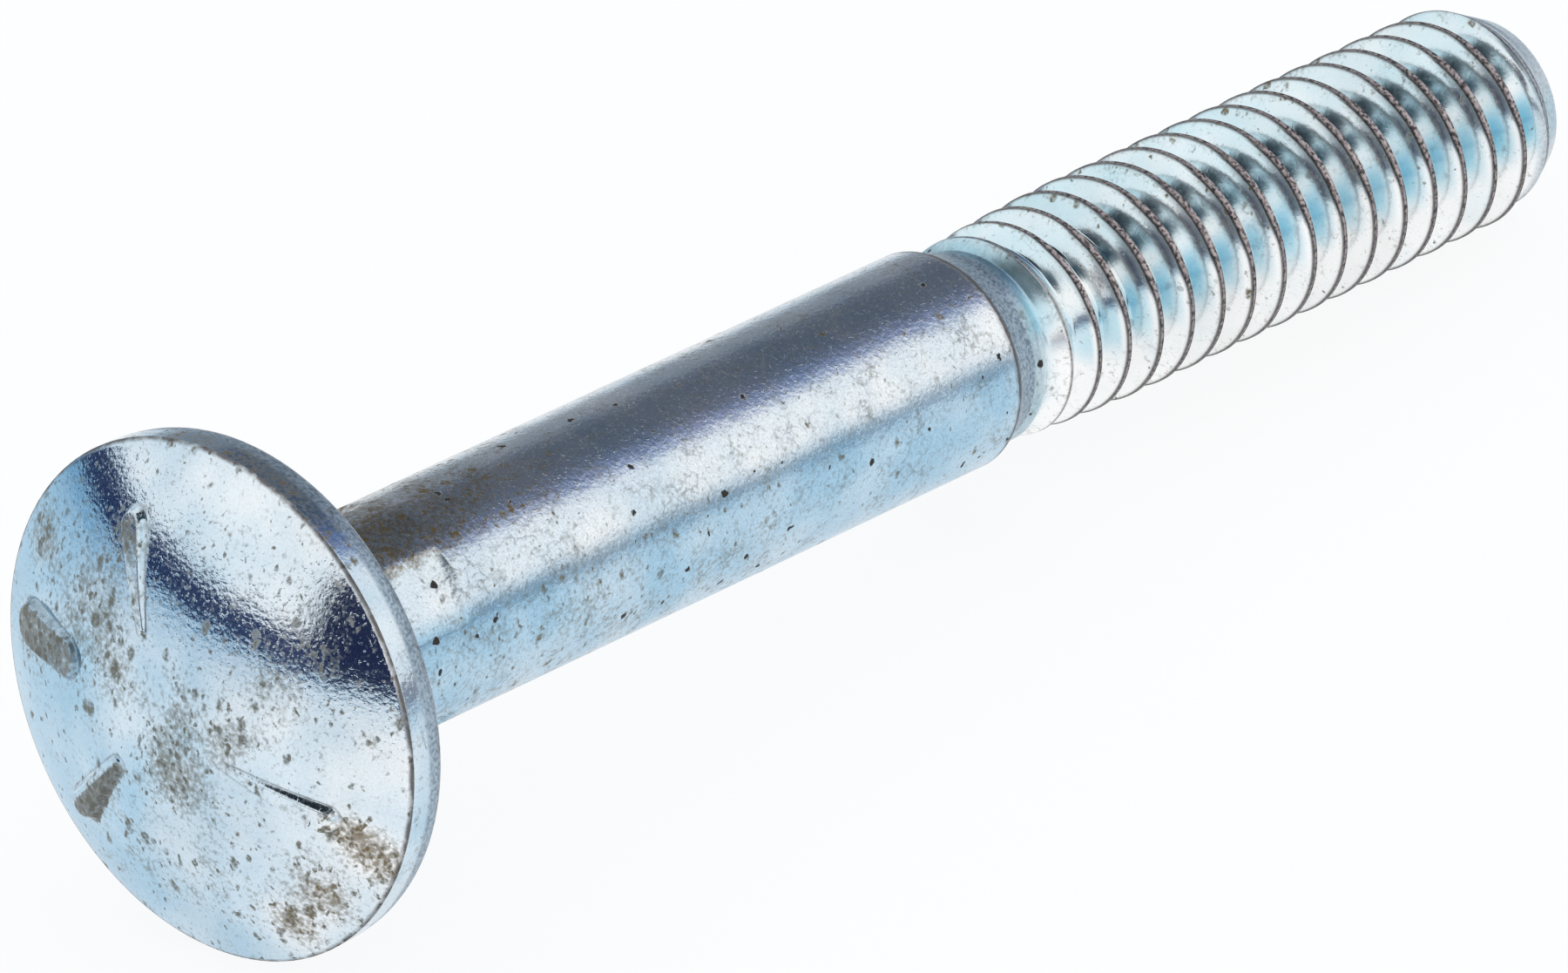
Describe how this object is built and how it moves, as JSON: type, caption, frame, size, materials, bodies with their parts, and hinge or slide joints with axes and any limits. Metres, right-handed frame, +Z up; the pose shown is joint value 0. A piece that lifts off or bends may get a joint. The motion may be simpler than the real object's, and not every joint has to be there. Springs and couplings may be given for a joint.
{
  "type": "bolt",
  "caption": "Domed round-head bolt with a plain shank, shallow flats under the head and a coarse rolled thread, in worn bright zinc plate, for clamping parts with a nut.",
  "frame": {"origin": "middle of the bounding box in plan, on the surface that the bolt lies on", "axes": "+Z up; +X from the head towards the tip, along the bolt as it lies on its head's rim and its thread"},
  "size_m": [0.0534, 0.0142, 0.0143],
  "materials": {
    "zinc_plate": "bright zinc plate with a fine grain, grey-brown stains and small pits"
  },
  "bodies": {
    "root": {"bolt": "zinc_plate"}
  },
  "joints": []
}
